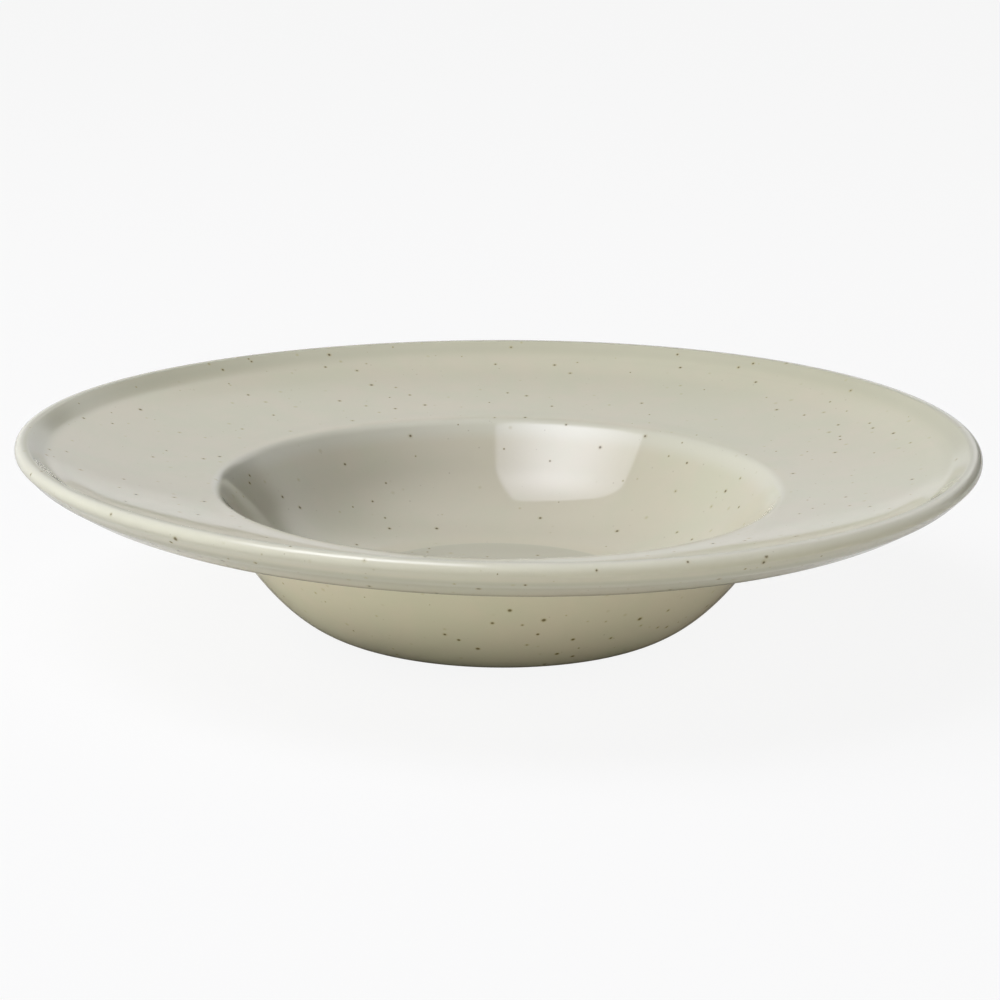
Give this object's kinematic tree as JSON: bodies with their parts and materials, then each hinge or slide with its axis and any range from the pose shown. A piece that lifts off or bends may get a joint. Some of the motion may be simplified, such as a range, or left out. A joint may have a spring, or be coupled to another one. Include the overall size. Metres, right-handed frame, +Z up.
{
  "type": "deep plate",
  "caption": "Round deep plate with a wide, gently rising flange, a turned-up lip, a deep well and a low foot ring, in speckled glazed stoneware.",
  "frame": {"origin": "centre of the foot ring, on the plane that the plate stands on", "axes": "+Z up, along the axis that the plate is turned about; X and Y are free, because the plate is round"},
  "size_m": [0.28, 0.28, 0.057],
  "materials": {
    "bare_stoneware": "fired clay, matt and slightly gritty",
    "speckled_glaze": "glossy warm grey glaze with fine brown iron specks, paler on the lip"
  },
  "bodies": {
    "root": {"stoneware_body": "bare_stoneware", "glaze_coat": "speckled_glaze", "foot_recess_glaze": "speckled_glaze"}
  },
  "joints": []
}
